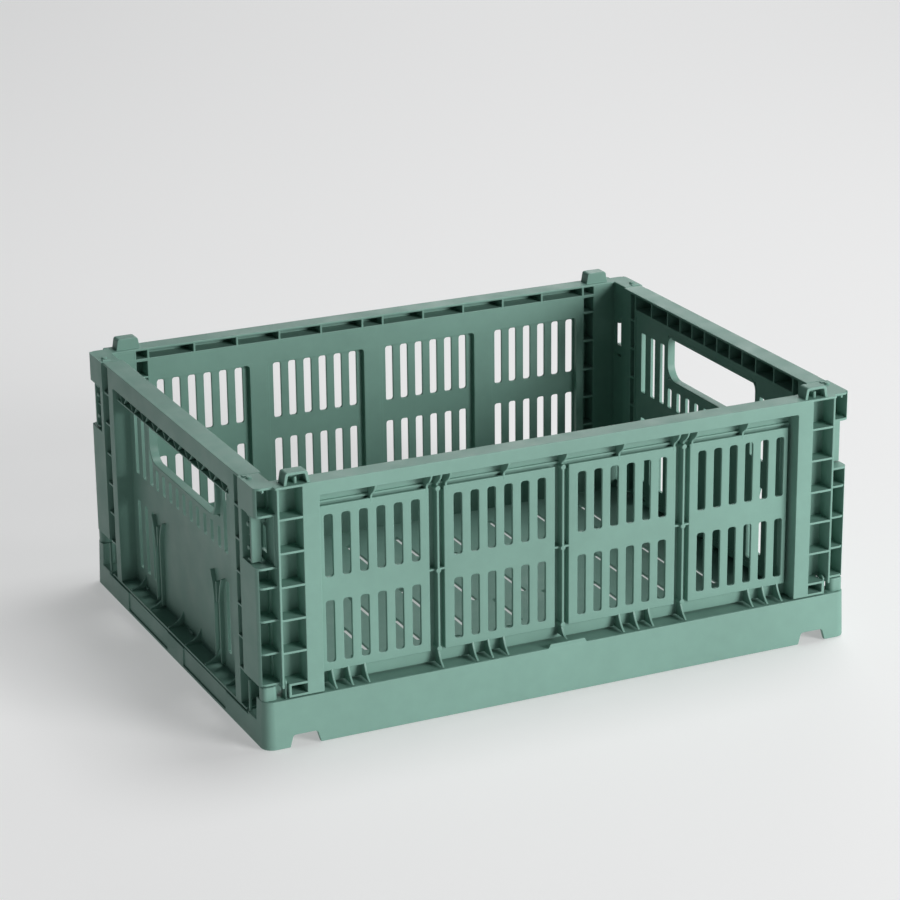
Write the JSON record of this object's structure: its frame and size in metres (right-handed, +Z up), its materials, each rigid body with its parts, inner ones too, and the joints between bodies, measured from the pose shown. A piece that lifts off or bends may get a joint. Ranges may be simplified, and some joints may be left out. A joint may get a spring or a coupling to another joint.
{
  "type": "collapsible storage crate",
  "caption": "Stackable collapsible plastic crate with slotted long sides, hand holes in the fold-in end panels and spring latches in the corner posts.",
  "frame": {"origin": "centre of the footprint, on the surface that the crate stands on", "axes": "+X along the long side, +Y across the crate, +Z up out of the open top"},
  "size_m": [0.345, 0.265, 0.1465],
  "materials": {
    "green_plastic": "satin"
  },
  "bodies": {
    "body": {"base_tray": "green_plastic", "front_panel": "green_plastic", "back_panel": "green_plastic"},
    "left_end": {"left_end_panel": "green_plastic"},
    "right_end": {"right_end_panel": "green_plastic"},
    "front_left_latch": {"latch_front_left": "green_plastic"},
    "front_right_latch": {"latch_front_right": "green_plastic"},
    "back_left_latch": {"latch_back_left": "green_plastic"},
    "back_right_latch": {"latch_back_right": "green_plastic"}
  },
  "joints": [
    {"name": "right_end_fold", "type": "hinge", "parent": "body", "child": "right_end", "pos_m": [0.161, 0, 0.0108], "axis": [0, -1, 0], "range_deg": [0, 90]},
    {"name": "left_end_fold", "type": "hinge", "parent": "body", "child": "left_end", "pos_m": [-0.161, 0, 0.0108], "axis": [0, 1, 0], "range_deg": [0, 90]},
    {"name": "front_right_latch_press", "type": "hinge", "parent": "body", "child": "front_right_latch", "pos_m": [0.1641, -0.1173, 0.1206], "axis": [-1, 0, 0], "range_deg": [0, 6], "stiffness_Nm_per_rad": 0.05},
    {"name": "front_left_latch_press", "type": "hinge", "parent": "body", "child": "front_left_latch", "pos_m": [-0.1641, -0.1173, 0.1206], "axis": [-1, 0, 0], "range_deg": [0, 6], "stiffness_Nm_per_rad": 0.05},
    {"name": "back_right_latch_press", "type": "hinge", "parent": "body", "child": "back_right_latch", "pos_m": [0.1641, 0.1173, 0.1206], "axis": [1, 0, 0], "range_deg": [0, 6], "stiffness_Nm_per_rad": 0.05},
    {"name": "back_left_latch_press", "type": "hinge", "parent": "body", "child": "back_left_latch", "pos_m": [-0.1641, 0.1173, 0.1206], "axis": [1, 0, 0], "range_deg": [0, 6], "stiffness_Nm_per_rad": 0.05}
  ]
}
